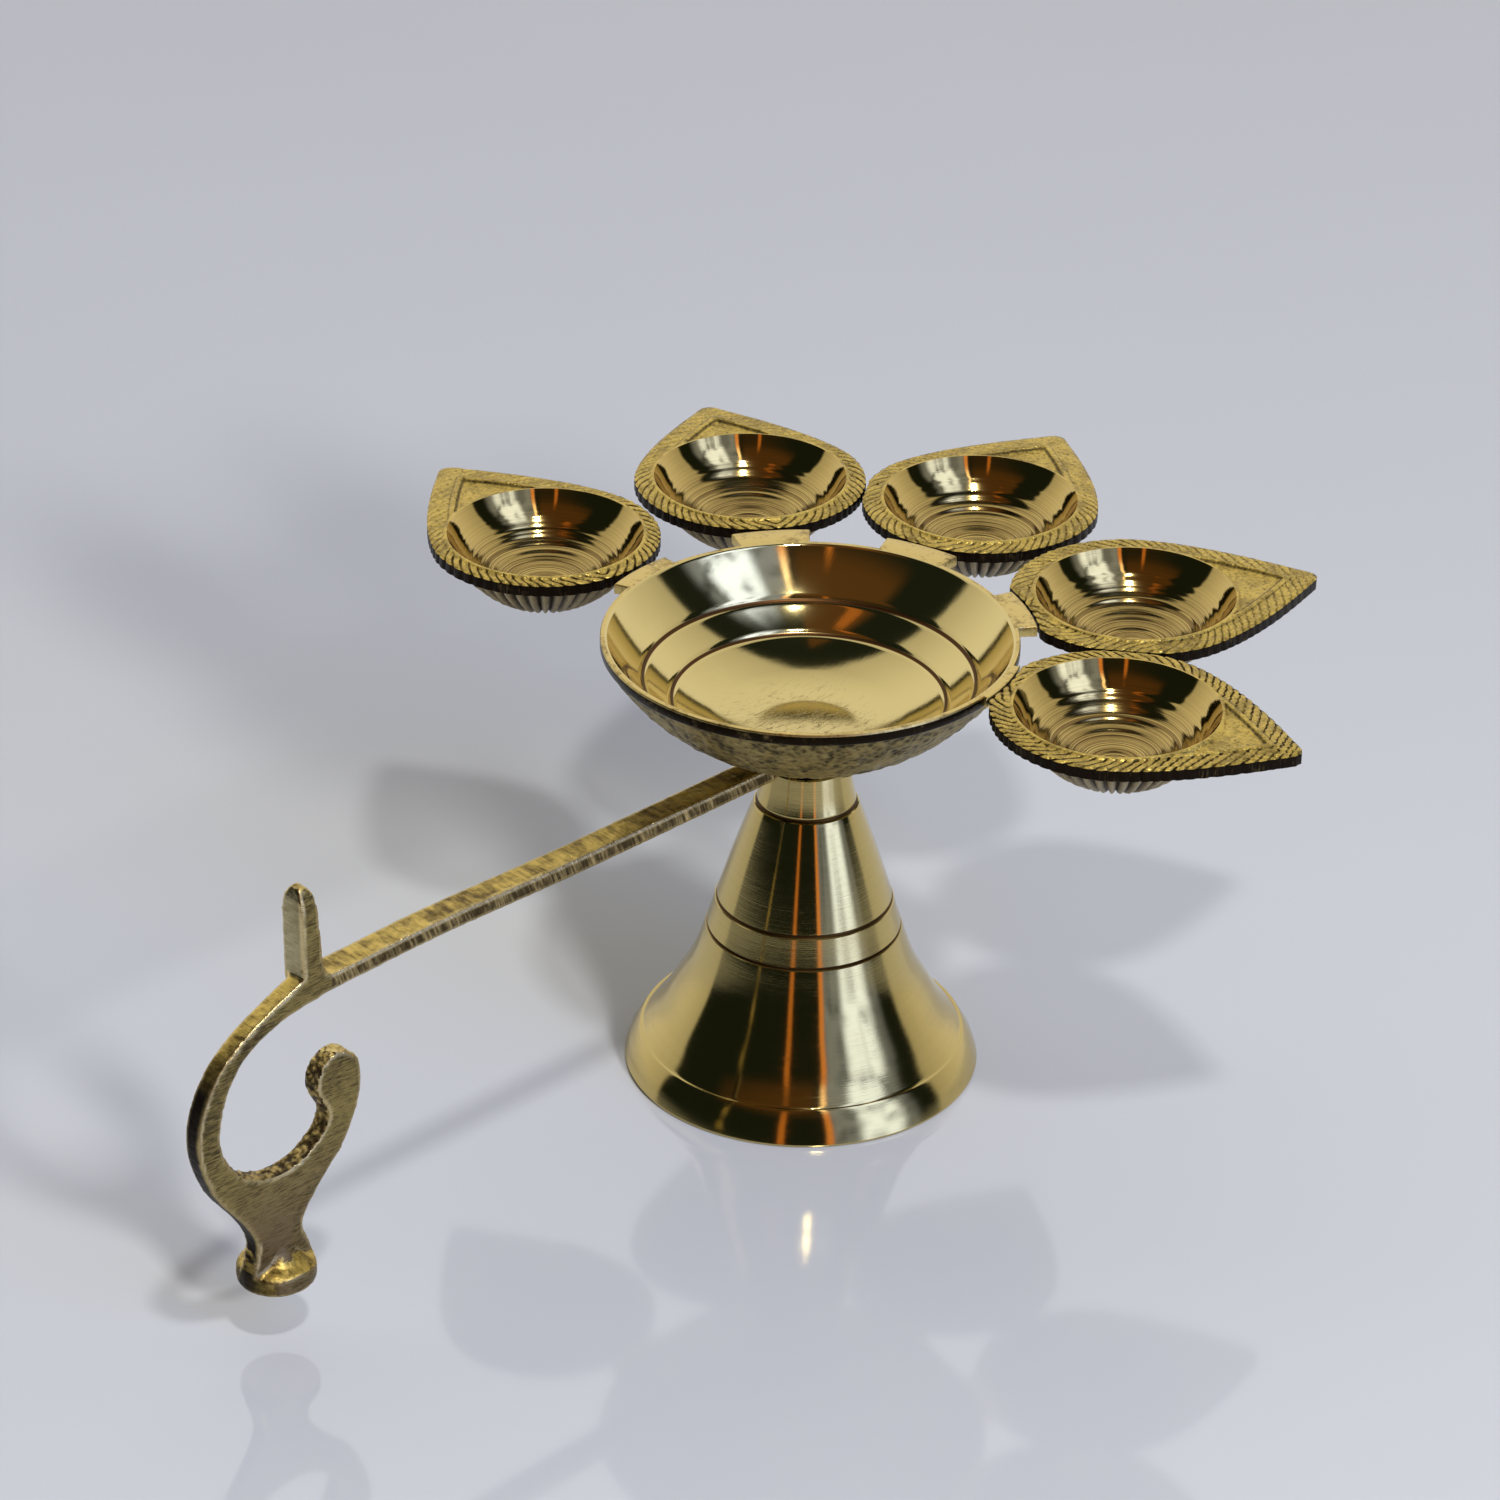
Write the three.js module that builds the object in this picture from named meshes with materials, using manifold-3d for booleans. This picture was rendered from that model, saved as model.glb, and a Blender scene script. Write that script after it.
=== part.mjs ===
// A hand-held five-wick oil lamp in cast and turned brass: a bell foot, an oil bowl with five
// leaf-shaped wick cups brazed to its rim, and a flat cast handle whose eye is clamped between
// the bowl and the foot by a threaded stud. Millimetres, +Z up. The lamp stands on Z = 0, with
// the origin in the middle of its plan and the handle pointing along -X.
import * as THREE from 'three';
import { mergeVertices } from 'three/addons/utils/BufferGeometryUtils.js';
import Module from 'manifold-3d';

const wasm = await Module();
wasm.setup();

// ---- Driving dimensions ----
const turnedAxis = new THREE.Vector3(22.4, -3.1, 0); // where the turned axis stands on the plan
const seatGap = 0.3; // between pieces that touch

const footRadius = 29; // bell foot
const footWall = 2.3;
const ledgeHeight = 5.6; // top of the plain band at the rim of the bell
const neckTop = 54.9;
const neckRadius = 6.6;
const hollowTop = 43.6; // ceiling of the hollow under the neck
const boreRadius = 3.9; // the thread's bore in the neck

const studRadius = 3.6; // threaded stud, at the middle of its thread
const studTipRadius = 3.0; // plain end brazed into the bowl
const studBottom = 44.2;
const studSeatDepth = 1.6;

const washerThickness = 0.8;
const washerInner = 4.1;
const washerOuter = 6.3;

const armTop = 58.2; // handle
const armDepth = 2.8;
const armWidth = 4.9; // arm and thumb tongue
const curlWidth = 3.4; // finger loop and tail, flush with the arm on one side
const flushFace = 2;
const eyeRadius = 6.6;
const eyeHole = 4.3;
const padRadius = 6.1;
const padCentre = 112.6; // out from the turned axis
const padBottom = 8.8;
const padTop = 12.6;

const bowlSeat = armTop + seatGap; // oil bowl: flat under its belly
const bowlRim = 77.6;
const innerSphere = { radius: 37.8, centre: 97.3 };
const outerSphere = { radius: 38.6, centre: 95.85 };
const floorHeight = 61.1;
const floorRadius = 7.5; // flat middle of the floor
const kneeAngle = THREE.MathUtils.degToRad(25); // where the round wall starts
const lugDepth = 2;
const lugStart = 32.6; // inside the wall at the rim
const lugWidth = 12.5;

const leafTop = 78; // wick cups
const leafThickness = 2.3;
const leafShoulder = THREE.MathUtils.degToRad(75); // where the round back meets the flank
const leafTipWidth = 3.4;
// Radius and depth below the leaf's top of the turned cup and of the belly cast round it
const cupLine = [[0, 9.8], [3.4, 9.5], [6.6, 8.6], [9.6, 7], [12.2, 4.9], [14.4, 2.7], [16.1, 0]];
const bellyLine = [[0, 12.6], [4, 12.2], [7.8, 11], [11, 8.9], [13.8, 6.1], [15.9, 3.2], [16.6, 1.5]];

// Each leaf is set by hand: the bearing and reach of its cup from the bowl's axis, the radius of
// its round back, the twist of its tip off the radial line, its length from cup centre to tip,
// and where its lug ends.
const leaves = [
  { bearing: 96.4, reach: 55.1, back: 18.9, twist: -15, length: 30.2, lugEnd: 35.6 },
  { bearing: 54.6, reach: 57.5, back: 19.4, twist: 5.5, length: 28.6, lugEnd: 37.6 },
  { bearing: 14.8, reach: 57.1, back: 19.7, twist: 0.5, length: 29.0, lugEnd: 37.3 },
  { bearing: -28.6, reach: 54.6, back: 20.3, twist: -1.5, length: 30.8, lugEnd: 36.3 },
  { bearing: -71.4, reach: 52.6, back: 19.8, twist: 0.5, length: 30.2, lugEnd: 34.0 },
];

// ---- Geometry helpers ----
const point = (x, y) => new THREE.Vector2(x, y);

// Points along an arc about (0, height) in the lathe's half plane, angles from straight down
function arcPoints(radius, height, from, to, steps) {
  return Array.from({ length: steps + 1 }, (_, i) => {
    const angle = from + ((to - from) * i) / steps;
    return point(radius * Math.sin(angle), height - radius * Math.cos(angle));
  });
}

function turned(profile, segments) {
  return new THREE.LatheGeometry(profile, segments).rotateX(Math.PI / 2);
}

function disc(radius, bottom, top, segments) {
  return turned([point(0, bottom), point(radius, bottom), point(radius, top), point(0, top)], segments);
}

// A plate lying flat, from its outline seen from above
function plate(outline, bottom, thickness, curveSegments) {
  const settings = { depth: thickness, bevelEnabled: false, curveSegments };
  return new THREE.ExtrudeGeometry(outline, settings).translate(0, 0, bottom);
}

// A closed geometry as a manifold solid, with shared vertices merged and flat triangles dropped
function solid(geometry) {
  geometry.deleteAttribute('normal');
  geometry.deleteAttribute('uv');
  const welded = mergeVertices(geometry, 1e-4);
  const index = welded.index.array;
  const triangles = [];
  for (let i = 0; i < index.length; i += 3) {
    const [a, b, c] = index.subarray(i, i + 3);
    if (a !== b && b !== c && c !== a) triangles.push(a, b, c);
  }
  const vertProperties = new Float32Array(welded.attributes.position.array);
  return new wasm.Manifold(new wasm.Mesh({ numProp: 3, vertProperties, triVerts: new Uint32Array(triangles) }));
}

function geometryOf(body) {
  const mesh = body.getMesh();
  const geometry = new THREE.BufferGeometry();
  geometry.setAttribute('position', new THREE.BufferAttribute(mesh.vertProperties, 3));
  geometry.setIndex(new THREE.BufferAttribute(mesh.triVerts, 1));
  return geometry;
}

function namedMesh(name, geometry, colour, roughness) {
  const material = new THREE.MeshStandardMaterial({ color: colour, metalness: 1, roughness });
  const mesh = new THREE.Mesh(geometry, material);
  mesh.name = name;
  return mesh;
}

// ---- Bell foot ----
function bellFoot() {
  const flare = new THREE.SplineCurve([
    point(26, ledgeHeight), point(21.7, 12), point(18.4, 18), point(15.8, 25.3), point(14.3, 30.4),
  ]).getPoints(9);
  const cone = [point(11.9, 38), point(9.1, 46), point(8.1, 48.1), point(7.2, 49.4)];
  const neck = [point(neckRadius, 51.4), point(neckRadius, neckTop)];
  const outside = [point(footRadius, 0), point(28, 2.8), point(26.5, ledgeHeight), ...flare, ...cone, ...neck];
  const hollow = new THREE.SplineCurve([
    point(7.2, hollowTop), point(9.3, 38), point(14.3 - footWall, 30.4), point(15.8 - footWall, 25.3),
    point(18.4 - footWall, 18), point(21.7 - footWall, 12), point(26 - footWall, ledgeHeight),
  ]).getPoints(11);
  const inside = [point(boreRadius, neckTop), point(boreRadius, hollowTop), ...hollow, point(26.5, 0)];
  return turned([...outside, ...inside, point(footRadius, 0)], 44);
}

// ---- Stud and washer ----
function threadedStud() {
  return turned([
    point(0, studBottom), point(studRadius - 0.6, studBottom), point(studRadius, studBottom + 0.7),
    point(studRadius, armTop), point(studTipRadius, armTop),
    point(studTipRadius, bowlSeat + studSeatDepth - seatGap), point(0, bowlSeat + studSeatDepth - seatGap),
  ], 24);
}

function clampWasher() {
  const bottom = neckTop + seatGap;
  const top = bottom + washerThickness;
  return turned([
    point(washerInner, bottom), point(washerOuter, bottom), point(washerOuter, top),
    point(washerInner, top), point(washerInner, bottom),
  ], 28);
}

// ---- Handle: one flat casting, drawn in the upright plane with x out from the turned axis ----
function handleOutline() {
  const eyeBottom = neckTop + 2 * seatGap + washerThickness;
  const armBottom = armTop - armDepth;
  const outline = new THREE.Shape();
  outline.moveTo(5, armTop);
  outline.lineTo(107, armTop);
  outline.lineTo(107, 59.4);
  outline.splineThru([
    point(113.6, 56.6), point(119.4, 53.6), point(124.2, 49.4), point(127.2, 43.8), point(127.8, 37.4),
    point(125.2, 29.6), point(119.8, 22.2), point(117.6, 17),
  ]); // back of the finger loop, down to the waist
  outline.lineTo(117.2, padTop - 1);
  outline.lineTo(108.4, padTop - 1);
  outline.splineThru([
    point(109.2, 15), point(109.2, 18.6), point(104.8, 23.4), point(99.8, 28.8), point(97, 35),
    point(96.6, 40.4), point(99.4, 44.3), point(102.9, 43.4), point(105.2, 39.8), point(103.3, 35.4),
  ]); // outside of the tail, round the bulb at its end
  outline.splineThru([
    point(105, 30.8), point(109.4, 28.5), point(115.2, 28.6), point(120.6, 31.8), point(123.6, 38),
    point(122.4, 45.2), point(118.4, 50.8), point(108.5, armBottom - 0.3),
  ]); // inside of the finger loop
  outline.lineTo(100, armBottom);
  outline.lineTo(eyeRadius + 2.4, armBottom);
  outline.lineTo(eyeRadius + 1, eyeBottom);
  outline.lineTo(5, eyeBottom);
  return { outline, eyeBottom };
}

function tongueOutline() {
  const outline = new THREE.Shape();
  outline.moveTo(101.5, armTop - 0.5);
  outline.lineTo(101.5, armTop);
  outline.quadraticCurveTo(103, armTop + 0.2, 103.1, 60.5);
  outline.lineTo(103.9, 70);
  outline.quadraticCurveTo(104.4, 74.1, 105.7, 74.3);
  outline.quadraticCurveTo(107.1, 73.9, 107.2, 70);
  outline.lineTo(107, armTop - 0.5);
  return outline;
}

function castHandle() {
  const { outline, eyeBottom } = handleOutline();
  const bar = plate(outline, -flushFace, curlWidth, 5).rotateX(Math.PI / 2);
  const tongue = plate(tongueOutline(), -flushFace, armWidth, 5).rotateX(Math.PI / 2);
  const armStart = eyeRadius + 2;
  const armLength = 102 - armStart;
  const arm = new THREE.BoxGeometry(armLength, armWidth, armDepth)
    .translate(armStart + armLength / 2, flushFace - armWidth / 2, armTop - armDepth / 2);
  const pad = turned([
    point(0, padBottom), point(padRadius - 0.4, padBottom), point(padRadius, padBottom + 0.5),
    point(padRadius, padTop - 1.2), point(padRadius - 0.7, padTop), point(4.4, padTop + 1.2),
    point(3.2, padTop + 3.6), point(0, padTop + 3.9),
  ], 24).translate(padCentre, 0, 0);
  const eye = disc(eyeRadius, eyeBottom, armTop, 32);
  const hole = disc(eyeHole, eyeBottom - 1, armTop + 1, 28);
  const casting = [arm, tongue, pad, eye].reduce((body, part) => body.add(solid(part)), solid(bar));
  return geometryOf(casting.subtract(solid(hole)));
}

// ---- Oil bowl with its five lugs ----
// The angle from straight down at which a sphere reaches a height
const angleAt = ({ radius, centre }, height) => Math.acos((centre - height) / radius);

function bowlShell() {
  const knee = 20; // radius of the bend between the flat floor and the round wall
  const bend = arcPoints(knee, floorHeight + knee, 0, kneeAngle, 3).map((p) => point(p.x + floorRadius, p.y));
  const wall = arcPoints(innerSphere.radius, innerSphere.centre, kneeAngle + 0.04,
    angleAt(innerSphere, bowlRim), 7);
  const belly = arcPoints(outerSphere.radius, outerSphere.centre, angleAt(outerSphere, bowlRim - 1.6),
    angleAt(outerSphere, bowlSeat), 8);
  const socketRadius = studTipRadius + seatGap;
  const profile = [
    point(0, floorHeight), ...bend, ...wall, point(belly[0].x, bowlRim), ...belly,
    point(socketRadius, bowlSeat), point(socketRadius, bowlSeat + studSeatDepth),
    point(0, bowlSeat + studSeatDepth),
  ];
  return turned(profile.reverse(), 48);
}

function lugOutline(end) {
  const half = lugWidth / 2;
  const outline = new THREE.Shape();
  outline.absarc(0, 0, end, -half / end, half / end, false);
  outline.absarc(0, 0, lugStart, (half + 1) / lugStart, -(half + 1) / lugStart, true);
  return outline;
}

function oilBowl() {
  return geometryOf(leaves.reduce((body, { bearing, lugEnd }) => {
    const lug = plate(lugOutline(lugEnd), bowlRim - lugDepth, lugDepth, 6);
    return body.add(solid(lug.rotateZ(THREE.MathUtils.degToRad(bearing))));
  }, solid(bowlShell())));
}

// ---- Wick cups: a leaf plate over a round belly, with the cup turned out of both ----
function leafOutline({ back, length }) {
  const shoulder = point(back * Math.cos(leafShoulder), back * Math.sin(leafShoulder));
  const tip = point(length - 1, leafTipWidth / 2);
  const flank = point(length * 0.5, back * 0.8);
  const outline = new THREE.Shape();
  outline.moveTo(tip.x, tip.y);
  outline.quadraticCurveTo(flank.x, flank.y, shoulder.x, shoulder.y);
  outline.absarc(0, 0, back, leafShoulder, 2 * Math.PI - leafShoulder, false);
  outline.quadraticCurveTo(flank.x, -flank.y, tip.x, -tip.y);
  outline.quadraticCurveTo(length + 1, 0, tip.x, tip.y);
  return outline;
}

// A half space beyond the line that parts a leaf from its neighbour, as a large block
function beyondNeighbour(own, other) {
  const away = other.clone().sub(own);
  const block = new THREE.BoxGeometry(100, 100, 100).translate(50 + away.length() / 2 - seatGap / 2, 0, 0);
  return block.rotateZ(Math.atan2(away.y, away.x)).translate(own.x, own.y, 0);
}

function cupPosition({ bearing, reach }) {
  const angle = THREE.MathUtils.degToRad(bearing);
  return new THREE.Vector3(reach * Math.cos(angle), reach * Math.sin(angle), 0);
}

function wickCup(number) {
  const leaf = leaves[number];
  const centre = cupPosition(leaf);
  const heading = THREE.MathUtils.degToRad(leaf.bearing + leaf.twist);
  const below = (line) => line.map(([radius, depth]) => point(radius, -depth));
  const belly = [...below(bellyLine), point(0, -bellyLine.at(-1)[1])];
  const hollow = [...below(cupLine), point(cupLine.at(-1)[0], 1), point(0, 1)];
  const flat = solid(plate(leafOutline(leaf), -leafThickness, leafThickness, 9).rotateZ(heading));
  let body = flat.add(solid(turned(belly, 32))).subtract(solid(turned(hollow, 32)));
  const cuts = [disc(leaf.lugEnd + seatGap, -20, 20, 96)];
  for (const beside of [leaves[number - 1], leaves[number + 1]]) {
    if (beside) cuts.push(beyondNeighbour(centre, cupPosition(beside)));
  }
  for (const cut of cuts) body = body.subtract(solid(cut.translate(-centre.x, -centre.y, 0)));
  const mesh = namedMesh(`leaf_cup_${number + 1}`, geometryOf(body), 0xb59545, 0.4);
  mesh.position.copy(centre).setZ(leafTop);
  return mesh;
}

// ---- Assembly ----
const head = new THREE.Group();
head.add(namedMesh('oil_bowl', oilBowl(), 0xc8aa55, 0.2));
head.add(namedMesh('threaded_stud', threadedStud(), 0xb89a50, 0.35));
leaves.forEach((_, number) => head.add(wickCup(number)));

const handle = namedMesh('handle', castHandle(), 0x8f7a3c, 0.5);
handle.rotation.z = Math.PI;

const lamp = new THREE.Group();
lamp.add(namedMesh('bell_foot', bellFoot(), 0xb99f52, 0.25));
lamp.add(namedMesh('clamp_washer', clampWasher(), 0xa98c48, 0.4));
lamp.add(handle, head);
lamp.position.copy(turnedAxis);

export default lamp;
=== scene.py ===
import math

import bmesh
import bpy
import numpy as np
from mathutils import Matrix, Vector, noise


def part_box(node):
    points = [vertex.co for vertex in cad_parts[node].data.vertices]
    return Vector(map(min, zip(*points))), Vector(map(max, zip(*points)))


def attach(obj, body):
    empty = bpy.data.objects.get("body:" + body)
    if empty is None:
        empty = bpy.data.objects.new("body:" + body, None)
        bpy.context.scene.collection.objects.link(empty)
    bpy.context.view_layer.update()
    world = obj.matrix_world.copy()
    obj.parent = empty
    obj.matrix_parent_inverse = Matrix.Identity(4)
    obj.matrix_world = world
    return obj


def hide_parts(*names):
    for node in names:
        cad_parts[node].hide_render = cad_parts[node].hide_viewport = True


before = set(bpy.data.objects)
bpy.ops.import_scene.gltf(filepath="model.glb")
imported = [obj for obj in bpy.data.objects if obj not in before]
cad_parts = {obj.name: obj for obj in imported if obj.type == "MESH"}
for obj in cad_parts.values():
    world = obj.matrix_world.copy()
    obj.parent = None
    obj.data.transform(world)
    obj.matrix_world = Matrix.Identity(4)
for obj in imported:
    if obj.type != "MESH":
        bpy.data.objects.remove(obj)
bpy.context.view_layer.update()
scene = bpy.context.scene
mm = 0.001

footLow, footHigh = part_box("bell_foot")
lampAxis = Vector(((footLow.x + footHigh.x) / 2, (footLow.y + footHigh.y) / 2, 0))


cameraSetup = {
    "place": Vector((-0.50012, -0.50598, 0.45528)),
    "heading": 45.37,  # degrees clockwise from +Y
    "tilt": 28.8,  # degrees below the horizon
    "roll": 0.97,
    "lens": 124.35,
}


def makeCamera():
    heading, tilt, roll = (math.radians(cameraSetup[k]) for k in ("heading", "tilt", "roll"))
    forward = Vector((math.sin(heading) * math.cos(tilt), math.cos(heading) * math.cos(tilt),
                      -math.sin(tilt)))
    right = forward.cross(Vector((0, 0, 1))).normalized()
    up = right.cross(forward)
    right, up = (right * math.cos(roll) + up * math.sin(roll),
                 up * math.cos(roll) - right * math.sin(roll))
    data = bpy.data.cameras.new("camera")
    data.lens, data.sensor_width = cameraSetup["lens"], 36
    data.clip_start, data.clip_end = 0.01, 20
    camera = bpy.data.objects.new("camera", data)
    scene.collection.objects.link(camera)
    camera.matrix_world = Matrix.Translation(cameraSetup["place"]) @ Matrix(
        (right, up, -forward)).transposed().to_4x4()
    scene.camera = camera
    return forward, right


viewForward, viewRight = makeCamera()
print("camera made")


class Shade:
    def __init__(self, tree, socket=None):
        self.tree, self.socket = tree, socket

    def node(self, kind, settings=None, inputs=None, output=0):
        made = self.tree.nodes.new(kind)
        for name, setting in (settings or {}).items():
            setattr(made, name, setting)
        for name, value in (inputs or {}).items():
            if isinstance(value, Shade):
                self.tree.links.new(value.socket, made.inputs[name])
            else:
                made.inputs[name].default_value = value
        return Shade(self.tree, made.outputs[output])

    def finish(self, kind, surface):
        self.tree.links.new(surface.socket, self.tree.nodes.new(kind).inputs["Surface"])

    def math(self, operation, *values):
        return self.node("ShaderNodeMath", {"operation": operation}, dict(enumerate((self, *values))))

    def __add__(self, other): return self.math("ADD", other)
    def __radd__(self, other): return self.math("ADD", other)
    def __sub__(self, other): return self.math("SUBTRACT", other)
    def __rsub__(self, other): return (self * -1).math("ADD", other)
    def __mul__(self, other): return self.math("MULTIPLY", other)
    def __rmul__(self, other): return self.math("MULTIPLY", other)
    def __truediv__(self, other): return self.math("DIVIDE", other)
    def __pow__(self, other): return self.math("POWER", other)

    def step(self, low, high):  # 0 below low, 1 above high, smooth between
        return self.node("ShaderNodeMapRange", {"interpolation_type": "SMOOTHSTEP"},
                         {"Value": self, "From Min": low, "From Max": high})

    def band(self, middle, half, soft):  # 1 inside the band, 0 outside
        return 1 - (self - middle).math("ABSOLUTE").step(half, half + soft)

    def blend(self, low, high):  # colours mixed by this mask
        return self.node("ShaderNodeMix", {"data_type": "RGBA"},
                         {"Factor": self, 6: opaque(low), 7: opaque(high)}, 2)

    def vector(self, operation, other, output=0):
        return self.node("ShaderNodeVectorMath", {"operation": operation},
                         {0: self, 1: other}, output)

    def split(self):
        parts = self.node("ShaderNodeSeparateXYZ", None, {0: self}).socket.node
        return [Shade(self.tree, socket) for socket in parts.outputs]

    def join(self, x, y, z):
        return self.node("ShaderNodeCombineXYZ", None, {0: x, 1: y, 2: z})

    def noise(self, vector, scale, detail=3.0, roughness=0.55, distortion=0.0):
        return self.node("ShaderNodeTexNoise", None, {
            "Vector": vector, "Scale": scale, "Detail": detail, "Roughness": roughness,
            "Distortion": distortion})


def opaque(colour):
    return colour if isinstance(colour, Shade) else (*colour, 1)


def newMaterial(name):
    material = bpy.data.materials.new(name)
    material.use_nodes = True
    material.node_tree.nodes.clear()
    return material, Shade(material.node_tree)


def closeMaterial(shade, colour, roughness, height=None, depth=0.0001, metallic=1.0, **constants):
    inputs = {"Base Color": opaque(colour), "Roughness": roughness, "Metallic": metallic}
    if height is not None:
        inputs["Normal"] = shade.node("ShaderNodeBump", None, {
            "Height": height, "Distance": depth, "Strength": 1.0})
    surface = shade.node("ShaderNodeBsdfPrincipled", None, {**inputs, **constants})
    shade.finish("ShaderNodeOutputMaterial", surface)


def placeFrom(shade, centre):  # metres from a point of the lamp
    coords = shade.node("ShaderNodeTexCoord", None, None, 3)
    return coords.vector("SUBTRACT", centre)


def radiusOf(place):
    x, y, z = place.split()
    return (x * x + y * y).math("SQRT"), z


def smoothLine(points, steps):  # a smooth line through all the points
    ends = [points[0]] + list(points) + [points[-1]]
    line = []
    for a, b, c, d in zip(ends, ends[1:], ends[2:], ends[3:]):
        for k in range(steps):
            t = k / steps
            line.append(tuple(
                0.5 * (2 * q + (r - p) * t + (2 * p - 5 * q + 4 * r - s) * t * t
                       + (3 * q - p - 3 * r + s) * t ** 3)
                for p, q, r, s in zip(a, b, c, d)))
    return line + [tuple(points[-1])]


def arcLine(radius, centre, start, end, steps):  # degrees from straight down, about (0, centre)
    angles = [math.radians(start + (end - start) * k / steps) for k in range(steps + 1)]
    return [(radius * math.sin(a), centre - radius * math.cos(a)) for a in angles]


def spun(bm, profile, steps, centre, angle=2 * math.pi, closed=False, start=0.0):
    whole = abs(angle - 2 * math.pi) < 1e-6
    verts = [bm.verts.new((centre.x + r * mm * math.cos(start), centre.y + r * mm * math.sin(start),
                           centre.z + z * mm)) for r, z in profile]
    edges = [bm.edges.new(pair) for pair in zip(verts, verts[1:])]
    if closed:
        edges.append(bm.edges.new((verts[-1], verts[0])))
    bmesh.ops.spin(bm, geom=verts + edges, cent=centre, axis=(0, 0, 1), angle=angle, steps=steps,
                   use_merge=whole)
    bmesh.ops.remove_doubles(bm, verts=bm.verts, dist=1e-6)
    bmesh.ops.dissolve_degenerate(bm, edges=bm.edges, dist=1e-7)
    return bm


def outward(bm):
    bmesh.ops.recalc_face_normals(bm, faces=bm.faces)
    if bm.calc_volume(signed=True) < 0:
        bmesh.ops.reverse_faces(bm, faces=bm.faces)


def finishPiece(name, bm, body, nodeName, materials, sharp=32):
    mesh = bpy.data.meshes.new(name)
    bm.to_mesh(mesh)
    bm.free()
    mesh.shade_smooth()
    mesh.set_sharp_from_angle(angle=math.radians(sharp))
    for material in materials:
        mesh.materials.append(material)
    piece = bpy.data.objects.new(name, mesh)
    scene.collection.objects.link(piece)
    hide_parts(nodeName)
    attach(piece, body)
    print(name, "made,", len(mesh.polygons), "faces")


turnedFinish = {
    "clean": (0.60, 0.475, 0.185),
    "warm": (0.54, 0.40, 0.14),
    "scribed": (0.09, 0.05, 0.015),
    "roughness": 0.06,
    "scribedLines": ((25.3, 0.2), (30.4, 0.22), (48.2, 0.22)),  # height and half width in mm
    "collar": (27.85, 2.3),  # left a little duller between two lines
}


def turnedBrass():
    material, shade = newMaterial("turnedBrass")
    place = placeFrom(shade, lampAxis)
    radius, height = radiusOf(place)
    rings = shade.noise(shade.join(radius * 0, radius * 0, height), 5200, 2, 0.7)
    coarse = shade.noise(shade.join(radius * 0, radius * 0, height), 900, 2, 0.6)
    patches = shade.noise(place, 38, 3, 0.6)
    scribed = height * 0
    for level, half in turnedFinish["scribedLines"]:
        scribed = scribed + (height / mm).band(level, half, 0.15)
    collar = (height / mm).band(*turnedFinish["collar"], 0.1)
    scratches = shade.noise(place.vector("MULTIPLY", (1, 1, 14)), 260, 4, 0.75)
    tarnish = (patches * 0.6 + coarse * 0.5).step(0.45, 0.75) * 0.45
    colour = tarnish.blend(turnedFinish["clean"], turnedFinish["warm"])
    colour = scribed.blend(colour, turnedFinish["scribed"])
    roughness = (turnedFinish["roughness"] + rings * 0.05 + scratches.step(0.5, 0.7) * 0.06
                 + collar * 0.03 + scribed * 0.3)
    closeMaterial(shade, colour, roughness, rings * 0.6 + coarse * 0.7 + scratches * 0.5, 0.000016)
    return material


turnedBrassMaterial = turnedBrass()

footShape = {
    "steps": 192,
    "band": ((28.5, 0.0), (28.9, 0.15), (29.0, 0.5), (28.3, 2.6), (26.75, 5.35), (26.5, 5.6), (26.15, 5.62)),
    "flare": ((26.0, 5.75), (23.7, 8.7), (21.7, 12), (18.4, 18), (16.1, 24.6)),
    "collar": ((15.97, 24.98), (15.5, 25.2), (15.5, 25.4), (15.75, 25.62), (15.1, 27.8), (14.52, 30.02),
               (14.05, 30.3), (14.0, 30.5), (14.2, 30.75)),
    "cone": ((14.1, 31.1), (11.9, 38), (9.15, 46), (8.45, 47.8)),
    "neck": ((8.05, 48.0), (7.95, 48.2), (7.95, 48.4), (8.0, 48.7), (7.75, 49.6), (7.35, 51.5), (6.95, 54.2),
             (6.85, 54.7), (6.6, 54.9)),
    "bore": ((4.3, 54.9), (3.9, 54.5), (3.9, 43.9), (4.2, 43.6)),
    "hollow": ((7.0, 43.6), (9.3, 38), (12.0, 30.4), (13.5, 25.3), (16.1, 18), (19.4, 12), (23.7, 5.6),
               (26.4, 0.5)),
    "sole": (26.8, 0.0),  # inner edge of the ring that it stands on
}


def bellFoot():
    bm = bmesh.new()
    shape = footShape
    profile = (list(shape["band"]) + smoothLine(shape["flare"], 8) + list(shape["collar"])
               + smoothLine(shape["cone"], 8) + list(shape["neck"]) + list(shape["bore"])
               + smoothLine(shape["hollow"], 5) + [shape["sole"]])
    spun(bm, profile, shape["steps"], lampAxis, closed=True)
    outward(bm)
    finishPiece("bellFoot", bm, "foot", "bell_foot", [turnedBrassMaterial], 24)


bellFoot()

threadShape = {
    "pitch": 1.25, "root": 3.25, "crest": 3.85, "bottom": 44.2, "top": 55.6, "steps": 40,
    "flanks": (0.14, 0.56, 0.69, 1.11),  # where each flank of the tooth starts and ends
    "tip": 3.0, "lead": 0.8, "leadRise": 0.85,  # chamfer of the first turn
    "shank": ((3.3, 55.3), (3.6, 55.8), (3.6, 58.1), (3.0, 58.2), (3.0, 59.8), (0.0, 59.8)),
}


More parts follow.
